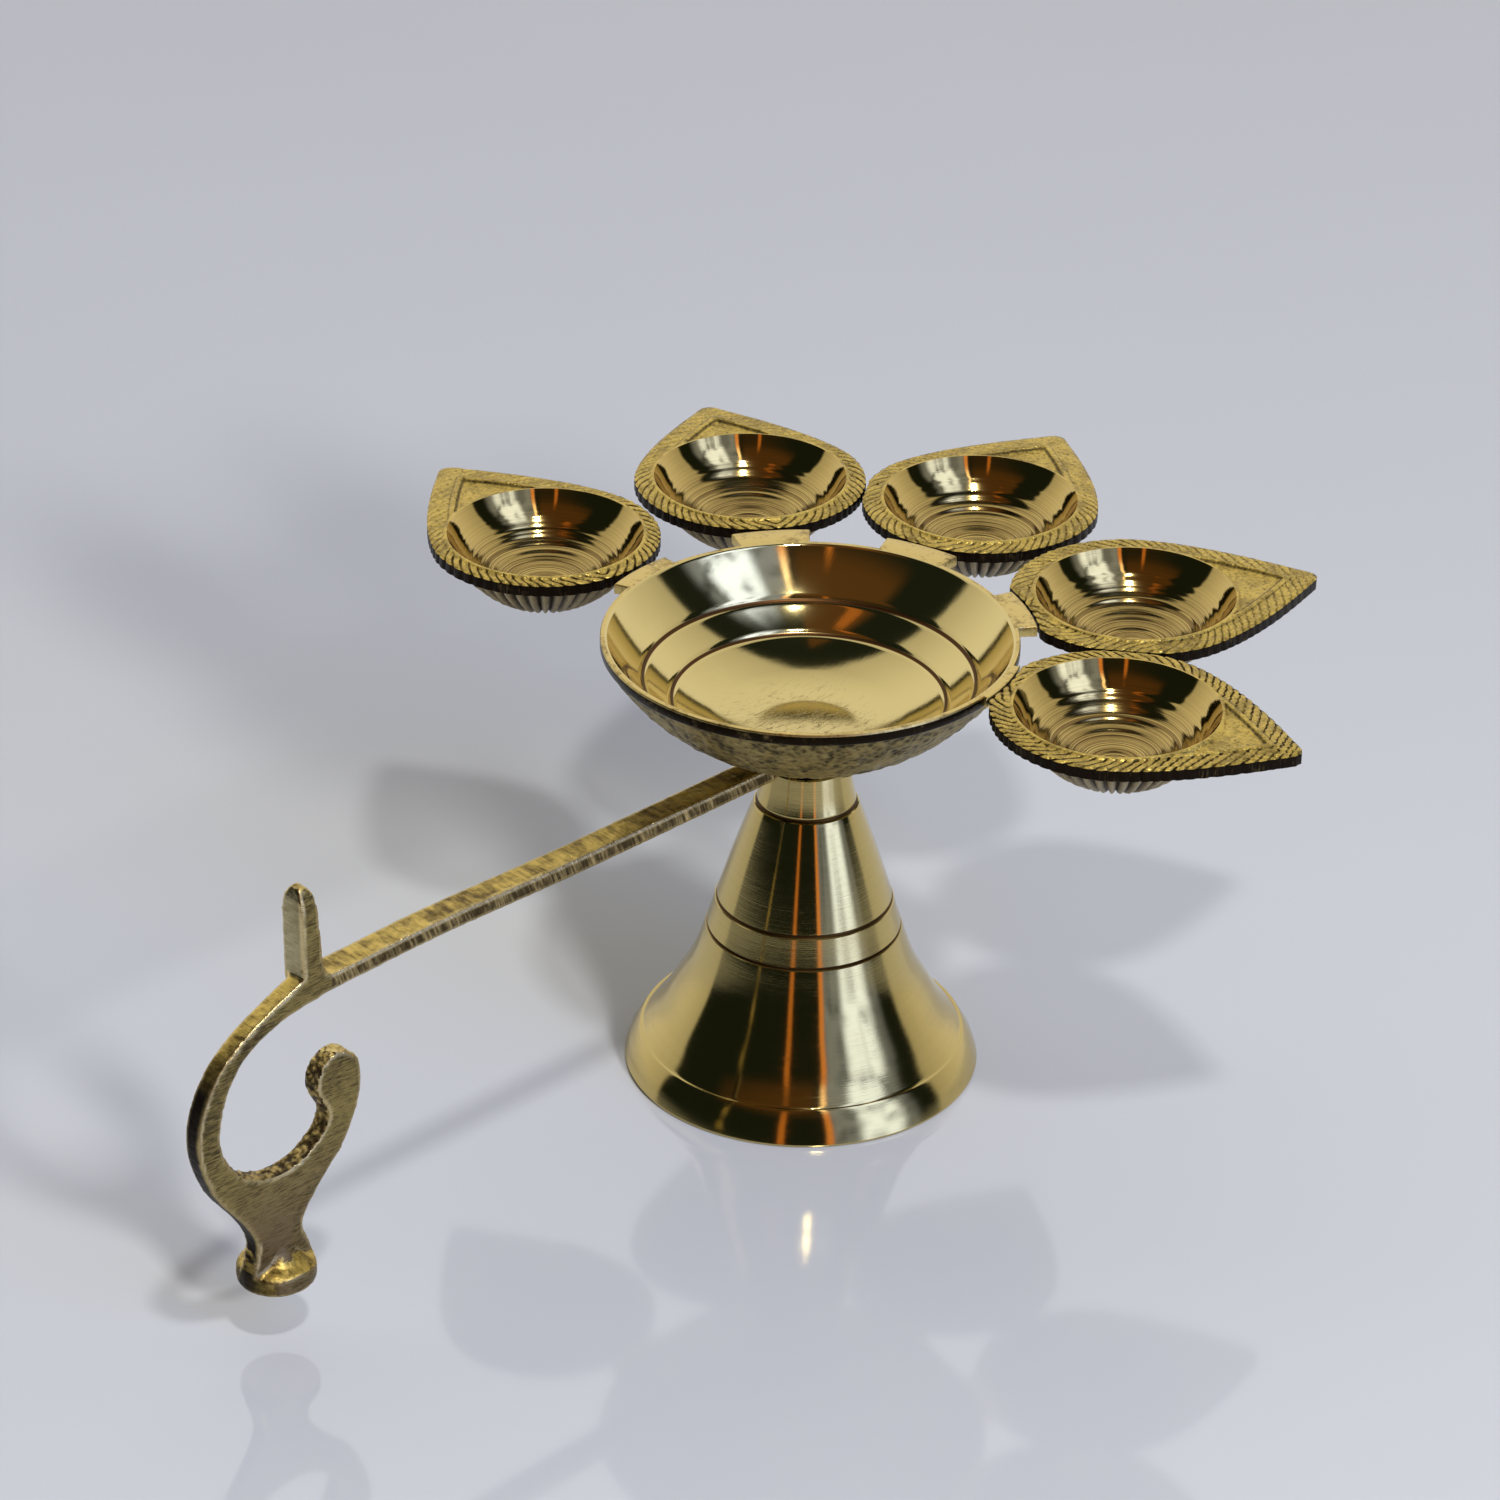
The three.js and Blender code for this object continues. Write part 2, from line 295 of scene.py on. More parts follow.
def threadedStud():
    bm = bmesh.new()
    shape = threadShape
    pitch, low = shape["pitch"], shape["bottom"]
    root, crest = shape["root"], shape["crest"]
    up, full, down, foot = shape["flanks"]
    tooth = ((root, 0), (root, up), (crest, full), (crest, down), (root, foot), (root, pitch))
    turns = int((shape["top"] - low) / pitch) + 2
    verts = [bm.verts.new((lampAxis.x + r * mm, lampAxis.y, (low - pitch + z) * mm)) for r, z in tooth]
    edges = [bm.edges.new(pair) for pair in zip(verts, verts[1:])]
    steps = shape["steps"] * turns
    bmesh.ops.spin(bm, geom=verts + edges, cent=lampAxis, axis=(0, 0, 1), angle=2 * math.pi * turns,
                   steps=steps, dvec=(0, 0, pitch * turns / steps * mm))
    bmesh.ops.remove_doubles(bm, verts=bm.verts, dist=2e-6)
    for level, normal in ((low, (0, 0, -1)), (shape["top"], (0, 0, 1))):  # square ends
        cut = bmesh.ops.bisect_plane(bm, geom=bm.verts[:] + bm.edges[:] + bm.faces[:],
                                     plane_co=(0, 0, level * mm), plane_no=normal, clear_outer=True)
        rim = [e for e in cut["geom_cut"] if isinstance(e, bmesh.types.BMEdge)]
        bmesh.ops.holes_fill(bm, edges=rim, sides=0)
    for vert in bm.verts:  # the first turns are chamfered
        lead = (vert.co.z / mm - low) / shape["lead"]
        flat = Vector((vert.co.x - lampAxis.x, vert.co.y - lampAxis.y, 0))
        most = (shape["tip"] + shape["leadRise"] * max(0.0, lead)) * mm
        if flat.length > most:
            vert.co -= flat * (1 - most / flat.length)
    spun(bm, list(shape["shank"]) + [(0.0, shape["shank"][0][1])], 48, lampAxis)
    outward(bm)
    finishPiece("threadedStud", bm, "head", "threaded_stud", [turnedBrassMaterial])


threadedStud()

washerShape = {"inner": 4.1, "outer": 6.3, "low": 55.2, "high": 56.0, "edge": 0.15}


def clampWasher():
    bm = bmesh.new()
    w = washerShape
    a, b, low, high, e = (w[k] for k in ("inner", "outer", "low", "high", "edge"))
    profile = ((a + e, low), (b - e, low), (b, low + e), (b, high - e), (b - e, high), (a + e, high),
               (a, high - e), (a, low + e))
    spun(bm, profile, 96, lampAxis, closed=True)
    outward(bm)
    finishPiece("clampWasher", bm, "washer", "clamp_washer", [turnedBrassMaterial])


clampWasher()


bowlFinish = {
    "mirror": (0.76, 0.62, 0.27),
    "worn": (0.62, 0.49, 0.20),
    "groove": (0.10, 0.045, 0.015),
    "grooves": ((26.4, 0.2), (21.8, 0.2)),  # radius and half width in mm
    "scuff": (0.16, 0.11, 0.05),
    "roughness": 0.045,
}


def mirrorBrass():
    material, shade = newMaterial("mirrorBrass")
    place = placeFrom(shade, lampAxis)
    radius = radiusOf(place)[0]
    patches = shade.noise(place, 55, 4, 0.6)
    fine = shade.noise(place, 900, 3, 0.7, 0.6)
    streaks = shade.noise(place.vector("MULTIPLY", (1, 3.5, 1)), 420, 4, 0.75, 1.2)
    groove = radius * 0
    for level, half in bowlFinish["grooves"]:
        groove = groove + (radius / mm).band(level, half, 0.12)
    floor = 1 - (radius / mm).step(6, 17)
    scuffs = (streaks.step(0.52, 0.66) * patches.step(0.42, 0.56)) * floor
    dull = patches.step(0.5, 0.75) * 0.25
    colour = dull.blend(bowlFinish["mirror"], bowlFinish["worn"])
    colour = (scuffs * 0.75).blend(colour, bowlFinish["scuff"])
    colour = groove.blend(colour, bowlFinish["groove"])
    roughness = bowlFinish["roughness"] + patches * 0.05 + scuffs * 0.3 + groove * 0.3 + fine * 0.02
    closeMaterial(shade, colour, roughness, fine * 0.4 + streaks * 0.6, 0.000006)
    return material


skinFinish = {
    "high": (0.38, 0.30, 0.115),
    "low": (0.022, 0.016, 0.007),
    "roughness": 0.32,
    "petals": 22,  # engraved petals round the belly
    "start": 58,  # height of the lowest row and of each row
    "row": 6.2,
}


def bowlSkin():
    material, shade = newMaterial("bowlSkin")
    place = placeFrom(shade, lampAxis)
    x, y, height = place.split()
    turn = y.math("ARCTAN2", x) * (skinFinish["petals"] / (2 * math.pi))
    row = (height / mm - skinFinish["start"]) / skinFinish["row"]
    shifted = turn + row.math("FLOOR") * 0.5
    across = (shifted - shifted.math("FLOOR") - 0.5) * 2
    along = row - row.math("FLOOR")
    petal = (across * across + along * along * 0.8).math("SQRT")
    outline = petal.band(0.86, 0.05, 0.12) * 0.14
    rib = across.math("ABSOLUTE").band(0.0, 0.05, 0.15) * 0.08
    dimples = shade.node("ShaderNodeTexVoronoi", {"feature": "F1"}, {"Vector": place, "Scale": 900})
    grain = shade.noise(place, 1500, 4, 0.7)
    lumps = shade.noise(place, 260, 3, 0.6)
    cut = (outline + rib).math("MINIMUM", 1.0)
    relief = lumps * 0.6 + grain * 0.35 + dimples * 0.4 - cut * 0.4
    raised = (relief * 1.1 + lumps * 0.2).step(0.5, 1.0)
    colour = raised.blend(skinFinish["low"], skinFinish["high"])
    closeMaterial(shade, colour, skinFinish["roughness"] + grain * 0.2 + cut * 0.15, relief, 0.0005)
    return material


rimFinish = {
    "golden": ((0.30, 0.20, 0.06), (0.76, 0.58, 0.21)),  # patina and worn brass
    # the rim's outer side: painted shade, near black, blended with dark brass
    "dark": ((0.015, 0.010, 0.005), (0.26, 0.19, 0.08)),
    "roughness": 0.24,
}


def rimBrass(name, low, high):  # how much of the first colour shows is in low and high; for the dark copy that colour is painted shade
    material, shade = newMaterial(name + "RimBrass")
    place = placeFrom(shade, lampAxis)
    grain = shade.noise(place, 1300, 4, 0.75)
    patches = shade.noise(place, 240, 3, 0.6)
    patinaAndPaintedShade, worn = rimFinish[name]
    colour = (grain * 0.6 + patches * 0.6).step(low, high).blend(patinaAndPaintedShade, worn)
    closeMaterial(shade, colour, rimFinish["roughness"] + grain * 0.15, grain + patches * 0.6, 0.00006)
    return material


leaves = (  # bearing and reach of the cup, back radius, twist of the tip, length, end of the lug
    (96.4, 55.1, 18.9, -15, 30.2, 35.6),
    (54.6, 57.5, 19.4, 5.5, 28.6, 37.6),
    (14.8, 57.1, 19.7, 0.5, 29.0, 37.3),
    (-28.6, 54.6, 20.3, -1.5, 30.8, 36.3),
    (-71.4, 52.6, 19.8, 0.5, 30.2, 34.0),
)

bowlShape = {
    "steps": 288,
    "inside": {"radius": 37.8, "centre": 97.3},
    "outside": {"radius": 38.6, "centre": 95.85},
    "floor": 61.1, "floorRadius": 7.5, "rim": 77.6, "band": 75.7, "seat": 58.5,
    "wallStart": 27.6,  # degrees from the bottom of the inner sphere
    "lip": ((32.45, 77.55), (32.75, 77.6), (33.05, 77.5), (33.2, 77.2), (33.2, 75.9), (33.05, 75.7)),
    "socket": 3.3, "socketTop": 60.1, "seatReach": 6.5,
    "grooveDepth": 0.16, "grooveHalf": 0.42,
    "lining": (32.4, 60.5),  # inside this radius and above this height it is mirror bright
    "hammered": (59.5, 75.4),  # heights between which the belly is uneven
    "lugWidth": 12.5, "lugRoot": 32.7, "lugLow": 75.65, "lugHigh": 77.55,
}


def angleAt(sphere, height):
    return math.degrees(math.acos((sphere["centre"] - height) / sphere["radius"]))


def oilBowl():
    bm = bmesh.new()
    shape = bowlShape
    inside, outside = shape["inside"], shape["outside"]
    bend = [(r + shape["floorRadius"], z) for r, z in arcLine(20, shape["floor"] + 20, 0, 25, 8)]
    wall = arcLine(inside["radius"], inside["centre"], shape["wallStart"],
                   angleAt(inside, shape["rim"] - 0.15), 60)
    belly = arcLine(outside["radius"], outside["centre"], angleAt(outside, shape["band"] - 0.25),
                    angleAt(outside, shape["seat"]), 56)
    inner = [(0, shape["floor"]), (4, shape["floor"])] + bend + wall
    lathed = []
    for r, z in inner:
        cut = max(max(0, 1 - (abs(r - level) / shape["grooveHalf"]) ** 2)
                  for level, _ in bowlFinish["grooves"])
        lathed.append((r + 0.7 * cut * shape["grooveDepth"], z - 0.7 * cut * shape["grooveDepth"]))
    socket = [(shape["socket"], shape["seat"]), (shape["socket"], shape["socketTop"]),
              (0, shape["socketTop"])]
    spun(bm, lathed + list(shape["lip"]) + belly + [(shape["seatReach"], shape["seat"])] + socket,
         shape["steps"], lampAxis)
    outward(bm)
    liningReach, liningLow = shape["lining"]
    for face in bm.faces:
        middle = (face.calc_center_median() - lampAxis) / mm
        radius = math.hypot(middle.x, middle.y)
        onInside = face.normal.z > 0 and radius < liningReach and middle.z > liningLow
        onTop = face.normal.z > 0.35
        # the outer side of the rim takes the dark copy as painted shade, the top the golden one
        face.material_index = 0 if onInside else 1 if middle.z < 75.6 else 2 if onTop else 3
    low, high = shape["hammered"]
    for vert in bm.verts:  # the hammered skin under the belly is uneven
        place = (vert.co - lampAxis) / mm
        under = vert.normal.z < -0.05 and low < place.z < high and math.hypot(place.x, place.y) > 9
        if under:
            fade = min(1, (high - place.z) / 1.5, (place.z - low) / 1.5)
            vert.co += vert.normal * (noise.noise(place * 0.55) * 0.28 + noise.noise(place * 1.4) * 0.12) \
                * fade * mm
    root, low, high = shape["lugRoot"], shape["lugLow"], shape["lugHigh"]
    for bearing, _, _, _, _, end in leaves:
        lug = bmesh.new()
        half = shape["lugWidth"] / 2 / end
        section = ((root, low), (end, low), (end, high), (root, high))
        spun(lug, section, 16, lampAxis, 2 * half, closed=True, start=math.radians(bearing) - half)
        bmesh.ops.holes_fill(lug, edges=[e for e in lug.edges if e.is_boundary], sides=0)
        outward(lug)
        edges = [e for e in lug.edges if len(e.link_faces) == 2 and e.calc_face_angle() > 0.9]
        bmesh.ops.bevel(lug, geom=edges, offset=0.3 * mm, segments=3, profile=0.5, affect="EDGES",
                        material=-1)
        for vert in lug.verts:  # the lug spreads where it meets the bowl and the leaf
            place = vert.co - lampAxis
            bearingHere = math.atan2(place.y, place.x) - math.radians(bearing)
            bearingHere = (bearingHere + math.pi) % (2 * math.pi) - math.pi
            share = (math.hypot(place.x, place.y) / mm - root) / (end - root)
            spread = 0.16 * (2 * share - 1) ** 2 - 0.08
            vert.co = lampAxis + Matrix.Rotation(bearingHere * spread, 3, "Z") @ place
        for face in lug.faces:
            face.material_index = 2
        scrap = bpy.data.meshes.new("lug")
        lug.to_mesh(scrap)
        lug.free()
        bm.from_mesh(scrap)
        bpy.data.meshes.remove(scrap)
    finishPiece("oilBowl", bm, "head", "oil_bowl",
                [mirrorBrass(), bowlSkin(), rimBrass("golden", 0.4, 0.62), rimBrass("dark", 0.6, 0.9)], 40)


oilBowl()


leafFinish = {
    "high": (0.75, 0.55, 0.13),
    "mid": (0.36, 0.255, 0.065),
    "low": (0.05, 0.034, 0.013),
    "pitch": 1.95,  # mm between the strokes of the border
    "slant": 1.15,
    "border": 3.9,  # mm from the edge to the inner ridge
    "side": ((0.018, 0.012, 0.007), (0.26, 0.19, 0.08)),  # tarnish and worn brass
    "under": ((0.055, 0.042, 0.025), (0.42, 0.34, 0.19)),
}


def leafCarving():
    material, shade = newMaterial("leafCarving")
    place = shade.node("ShaderNodeTexCoord", None, None, 3)
    along, inward, lip, force = (shade.node("ShaderNodeAttribute", {"attribute_name": name}, None, 2)
                                 for name in ("alongEdge", "fromEdge", "fromCup", "strokeForce"))
    grain = shade.noise(place, 1700, 4, 0.75)
    lumps = shade.noise(place, 330, 3, 0.65)
    jitter = (along * 0.25).math("SINE") * 0.8
    phase = (along + inward * leafFinish["slant"] + jitter + lumps * 0.4) / leafFinish["pitch"]
    saw = phase - phase.math("FLOOR")
    border = 1 - inward.step(leafFinish["border"] - 0.5, leafFinish["border"] + 0.1)
    offLip = lip.step(0.25, 0.7)
    strokes = saw.band(0.5, 0.05, 0.13) * border * offLip * force * lumps.step(0.28, 0.48)
    # painted shadow: dark lines on both slopes of the raised ridge, the inner one stronger
    ridgeShadowLines = inward.band(leafFinish["border"] + 0.75, 0.08, 0.25) * offLip
    ridgeShadowLines = ridgeShadowLines + inward.band(leafFinish["border"] - 0.45, 0.04, 0.2) * offLip * 0.5
    pits = shade.node("ShaderNodeTexVoronoi", {"feature": "F1"}, {"Vector": place, "Scale": 1500})
    pitted = (1 - pits).step(0.4, 0.85)
    specks = 1 - grain.step(0.30, 0.44)
    dark = (strokes * 1.1 + ridgeShadowLines * 0.7 + pitted * 0.2 + specks * 0.55).math("MINIMUM", 1.0)
    worn = (lumps * 0.6 + grain * 0.5).step(0.38, 0.66)
    colour = worn.blend(leafFinish["mid"], leafFinish["high"])
    colour = (dark * offLip).blend(colour, leafFinish["low"])
    height = grain * 0.4 + lumps * 0.5 - strokes * 0.9 - ridgeShadowLines * 0.4 - pitted * 0.3
    closeMaterial(shade, colour, 0.27 + grain * 0.16 + dark * 0.2, height, 0.00022)
    return material


cupFinish = {
    "mirror": (0.64, 0.475, 0.165),
    "ringed": (0.15, 0.085, 0.03),
    "roughness": 0.06,
}


def cupTurning():
    material, shade = newMaterial("cupTurning")
    inCup = shade.node("ShaderNodeAttribute", {"attribute_name": "fromCup"}, None, 2)
    place = shade.node("ShaderNodeTexCoord", None, None, 3)
    depth = inCup * -1  # mm in from the rim
    lines = shade.noise(shade.join(depth, depth * 0, depth * 0), 5.0, 3, 0.75)
    broad = shade.noise(shade.join(depth, depth * 0, depth * 0), 0.9, 2, 0.6)
    patches = shade.noise(place, 120, 3, 0.6)
    floor = depth.step(1.5, 7.0)
    bands = (lines * 0.95 + broad * 0.25 + patches * 0.1).step(0.56, 0.74)
    colour = (bands * (0.1 + floor * 0.85)).blend(cupFinish["mirror"], cupFinish["ringed"])
    roughness = cupFinish["roughness"] + floor * 0.07 + bands * floor * 0.08
    closeMaterial(shade, colour, roughness, lines * (0.25 + floor * 0.75), 0.00002)
    return material


def leafSide():
    material, shade = newMaterial("leafSide")
    place = shade.node("ShaderNodeTexCoord", None, None, 3)
    along = shade.node("ShaderNodeAttribute", {"attribute_name": "alongEdge"}, None, 2)
    height = place.split()[2]
    strokes = shade.noise(shade.join(along, height * 120, along * 0), 3.2, 3, 0.7)
    patches = shade.noise(place, 400, 3, 0.6)
    colour = (strokes * 0.6 + patches * 0.5).step(0.58, 0.9).blend(*leafFinish["side"])
    closeMaterial(shade, colour, 0.3 + patches * 0.2, strokes + patches * 0.5, 0.00016)
    return material


def leafUnderside():
    material, shade = newMaterial("leafUnderside")
    place = shade.node("ShaderNodeTexCoord", None, None, 3)
    hollow = shade.node("ShaderNodeAttribute", {"attribute_name": "fluteDepth"}, None, 2)
    grain = shade.noise(place, 1500, 4, 0.7)
    lumps = shade.noise(place, 300, 3, 0.6)
    tone = ((1 - hollow) * 0.55 + grain * 0.35 + lumps * 0.35).step(0.45, 1.0)
    colour = tone.blend(*leafFinish["under"])
    closeMaterial(shade, colour, 0.34 + grain * 0.2, grain * 0.5 + lumps * 0.6, 0.0003)
    return material


leafMaterials = [cupTurning(), leafCarving(), leafSide(), leafUnderside()]

leafShape = {
    "top": 78.0, "thickness": 2.3, "steps": 320, "shoulder": 75, "tipWidth": 3.4, "gap": 0.15,
    "cup": ((0, -9.8), (3, -9.55), (6, -8.78), (8.5, -7.68), (10.8, -6.23), (13, -4.3), (14.6, -2.42),
            (16.1, 0.0)),
    "toolRings": ((1.0, 0.14), (2.4, 0.11)),  # rings per mm and their depth
    "ringsFade": (11.0, 15.8),  # towards the rim
    "belly": ((16.5, -2.3), (15.9, -3.2), (13.8, -6.1), (11, -8.9), (7.8, -11), (4, -12.2), (0, -12.6)),
    "rim": 16.1, "spread": 10.0, "bellyRadius": 16.6, "flutes": 42, "fluteDepth": 0.5,
    "sunk": 0.3, "fieldDepth": 0.3, "strokeDepth": 0.28, "ridgeHeight": 0.28, "edgeDrop": 0.25,
    "scallop": 0.3,
    "strokes": ((0.25, 0.9), (0.25, 0.8), (0.15, 0.7), (0.5, 0.7), (1.0, 1.0)),  # at the tip, at the back
}


def cupPlace(leaf):
    bearing = math.radians(leaf[0])
    return Vector((leaf[1] * math.cos(bearing), leaf[1] * math.sin(bearing), 0))


def quadratic(a, b, c, steps):
    return [tuple((1 - t) ** 2 * p + 2 * t * (1 - t) * q + t * t * r for p, q, r in zip(a, b, c))
            for t in (k / steps for k in range(steps))]


def leafReach(number, angles):  # distance from the cup's centre to the leaf's edge
    bearing, _, back, twist, length, lugEnd = leaves[number]
    shoulder = math.radians(leafShape["shoulder"])
    corner = (back * math.cos(shoulder), back * math.sin(shoulder))
    tip, flank = (length - 1, leafShape["tipWidth"] / 2), (length * 0.5, back * 0.8)
    half = quadratic((length, 0.0), (length + 0.4, tip[1] * 0.8), tip, 12) + quadratic(tip, flank, corner, 60)
    half += [(back * math.cos(a), back * math.sin(a)) for a in np.linspace(shoulder, math.pi, 60)]
    side = np.array([(math.atan2(y, x), math.hypot(x, y)) for x, y in half])
    heading = math.radians(bearing + twist)
    local = np.abs((angles - heading + math.pi) % (2 * math.pi) - math.pi)
    out = np.interp(local, side[:, 0], side[:, 1])
    own = cupPlace(leaves[number])
    for other in (number - 1, number + 1):
        if 0 <= other < len(leaves):
            away = cupPlace(leaves[other]) - own
            facing = np.cos(angles - math.atan2(away.y, away.x))
            wall = np.where(facing > 0.1, (away.length / 2 - leafShape["gap"]) / np.maximum(facing, 0.1), 1e3)
            out = np.minimum(out, wall)
    keep = lugEnd + 0.3  # the lug's end is a circle about the lamp's axis
    toward = own.x * np.cos(angles) + own.y * np.sin(angles)
    root = toward ** 2 - (own.length ** 2 - keep ** 2)
    hit = np.where((root > 0) & (toward < 0), -toward - np.sqrt(np.maximum(root, 0)), 1e3)
    return np.minimum(out, hit)


def softened(values, passes):  # rounds the corners where two cuts meet
    for _ in range(passes):
        values = 0.25 * np.roll(values, 1) + 0.5 * values + 0.25 * np.roll(values, -1)
    return values


def edgeMeasures(outline, points, start):  # distance to the edge, and along it from the tip
    step = np.linalg.norm(np.roll(outline, -1, 0) - outline, axis=1)
    run = np.concatenate(([0], np.cumsum(step)[:-1]))
    whole = step.sum()
    run = (run - run[start]) % whole
    run = np.minimum(run, whole - run)
    inward, along = np.zeros(len(points)), np.zeros(len(points))
    for first in range(0, len(points), 2000):
        part = points[first:first + 2000]
        gaps = np.linalg.norm(part[:, None] - outline[None], axis=2)
        nearest = gaps.argmin(1)
        inward[first:first + 2000] = gaps[np.arange(len(part)), nearest]
        along[first:first + 2000] = run[nearest]
    return inward, along


def stepDown(value, low, high):  # 1 below low, 0 above high, smooth between
    t = np.clip((value - low) / (high - low), 0, 1)
    return 1 - t * t * (3 - 2 * t)


def cupProfile(number):  # a round turned hollow with the tool's rings in it
    wall = np.array(smoothLine(leafShape["cup"], 12))
    line = []
    for r in np.linspace(0, leafShape["rim"], 84):
        fade = float(stepDown(r, *leafShape["ringsFade"]))
        rings = sum(noise.noise(Vector((r * often, number * 5.3, often))) * deep
                    for often, deep in leafShape["toolRings"])
        line.append((float(r), float(np.interp(r, wall[:, 0], wall[:, 1])) + rings * fade))
    return line


def leafProfile(number):
    shape = leafShape
    rim, spread = shape["rim"], shape["spread"]
    top = [(rim + spread * t, 0.0) for t in (k / 24 for k in range(1, 25))]
    side = [(rim + spread, -z) for z in (0.25, 0.9, 1.6, shape["thickness"] - 0.2, shape["thickness"])]
    width = rim + spread - shape["bellyRadius"]
    under = [(rim + spread - width * t, -shape["thickness"]) for t in (k / 10 for k in range(1, 11))]
    return cupProfile(number) + top + side + under + smoothLine(shape["belly"], 6)


def wickCup(number):
    bm = bmesh.new()
    shape, finish = leafShape, leafFinish
    centre = lampAxis + cupPlace(leaves[number]) * mm + Vector((0, 0, shape["top"] * mm))
    spun(bm, leafProfile(number), shape["steps"], centre)
    outward(bm)
    bm.verts.ensure_lookup_table()
    rings = (np.arange(shape["steps"]) / shape["steps"]) * 2 * math.pi - math.pi
    reach = softened(leafReach(number, rings), 3)
    place = np.array([(vert.co - centre) / mm for vert in bm.verts])
    radius, angle = np.hypot(place[:, 0], place[:, 1]), np.arctan2(place[:, 1], place[:, 0])
    edge = np.interp(angle, np.append(rings, math.pi), np.append(reach, reach[0]))
    rim, spread, bellyRadius = shape["rim"], shape["spread"], shape["bellyRadius"]
    flat = place[:, 2] > -shape["thickness"] - 0.01
    top = flat & (place[:, 2] > -0.001) & (radius > rim - 0.001)
    sides = flat & ~top & (radius > rim + spread - 0.01)
    under = flat & ~top & ~sides & (radius > bellyRadius - 0.001) & (
        place[:, 2] < -shape["thickness"] + 0.01)
    wall = np.array(shape["cup"])
    cup = ~(top | sides | under) & (radius < rim + 0.001) & (
        place[:, 2] > np.interp(radius, wall[:, 0], wall[:, 1]) - 0.7)
    belly = ~(top | sides | under | cup)
    share = (radius - rim) / spread
    newRadius = np.where(top | sides, rim + (edge - rim) * share, radius)
    newRadius = np.where(under, bellyRadius + (edge - bellyRadius) * (radius - bellyRadius)
                         / (rim + spread - bellyRadius), newRadius)
    outline = np.stack((reach * np.cos(rings), reach * np.sin(rings)), 1)
    flatPlace = np.stack((newRadius * np.cos(angle), newRadius * np.sin(angle)), 1)
    heading = math.radians(leaves[number][0] + leaves[number][3])
    start = int(np.argmin(np.abs(np.angle(np.exp(1j * (rings - heading))))))
    inward, along = edgeMeasures(outline, flatPlace, start)
    lip = newRadius - rim
    jitter = 0.8 * np.sin(along * 0.25)
    phase = 2 * math.pi * (along + inward * finish["slant"] + jitter + 0.2) / finish["pitch"]
    notch = 0.5 - 0.5 * np.cos(phase)  # 1 in the middle of a stroke
    atTip, atBack = shape["strokes"][number]
    force = atBack + (atTip - atBack) * stepDown(along, 20, 34)
    force = force * (0.8 + 0.2 * np.sin(along * 1.7 + number) * np.sin(along * 0.61 + 2))
    onBorder = stepDown(inward, finish["border"] - 0.6, finish["border"] + 0.2)
    offLip = 1 - stepDown(lip, 0.3, 0.9)
    ridge = np.exp(-((inward - finish["border"] - 0.15) / 0.45) ** 2)
    field = 1 - stepDown(inward, finish["border"] + 0.4, finish["border"] + 1.3)
    relief = (-shape["sunk"] - shape["strokeDepth"] * force * onBorder * notch ** 5
              + shape["ridgeHeight"] * ridge - shape["fieldDepth"] * field)
    relief -= shape["edgeDrop"] * stepDown(inward, 0.0, 0.7)
    height = np.where(top, relief * offLip, place[:, 2])
    height = np.where(sides & (place[:, 2] > -0.3), -0.55, height)
    nearEdge = np.where(sides, 1, np.where(top, stepDown(inward, 0, 1.2), 0))
    scallop = -shape["scallop"] * force * notch ** 3 * nearEdge
    newRadius = newRadius + np.where(top | sides, scallop, 0)
    flute = np.abs(np.sin(angle * shape["flutes"] / 2))  # rounded ribs, sharp valleys
    fade = np.clip((radius - 2) / 6, 0, 1) * np.clip((-shape["thickness"] - place[:, 2]) / 0.8, 0, 1)
    newRadius = newRadius + np.where(belly, -(1 - flute) * shape["fluteDepth"] * fade * 1.6, 0)
    height = height + np.where(belly, (1 - flute) * shape["fluteDepth"] * fade * 0.8, 0)
    names = {"alongEdge": along, "fromEdge": inward, "fromCup": lip, "fluteDepth": (1 - flute) * fade,
             "strokeForce": force}
    layers = {name: bm.verts.layers.float.new(name) for name in names}
    for index, vert in enumerate(bm.verts):
        a, r = angle[index], newRadius[index]
        spot = Vector((r * math.cos(a), r * math.sin(a), height[index]))
        if top[index] and offLip[index] > 0:
            spot.z += noise.noise(Vector((spot.x, spot.y, number * 9)) * 1.3) * 0.1 * offLip[index]
        if belly[index]:
            spot *= 1 + noise.noise(spot * 0.9 + Vector((number * 7, 0, 0))) * 0.008 * fade[index]
        vert.co = centre + spot * mm
        for name, layer in layers.items():
            vert[layer] = names[name][index]
    kinds = np.select([cup, top, sides, under], [0, 1, 2, 3], 3)
    for face in bm.faces:
        face.material_index = int(max(kinds[v.index] for v in face.verts)) \
            if any(kinds[v.index] > 1 for v in face.verts) \
            else int(min(kinds[v.index] for v in face.verts))
    outward(bm)
    finishPiece(f"wickCup{number + 1}", bm, "head", f"leaf_cup_{number + 1}",
                leafMaterials, 38)


for number in range(len(leaves)):
    wickCup(number)


castFinish = {
    "brushed": ((0.07, 0.048, 0.018), (0.40, 0.30, 0.09)),  # dull and bright of each finish
    "filed": ((0.12, 0.075, 0.02), (0.78, 0.57, 0.15)),
    "stroked": ((0.075, 0.05, 0.018), (0.70, 0.53, 0.23)),
    "thumbed": ((0.34, 0.28, 0.13), (0.62, 0.54, 0.30)),
    "pitted": ((0.06, 0.038, 0.014), (0.78, 0.58, 0.20)),
    # painted shade for the handle's underside, the lower outer curl and the pad's outer side
    "patinaAndPaintedShade": (0.018, 0.012, 0.006),
    "paintedHighlightAndWear": (0.88, 0.70, 0.34),  # painted highlight along the edges, partly where they are rubbed bright
    "stained": (0.17, 0.10, 0.08),
}


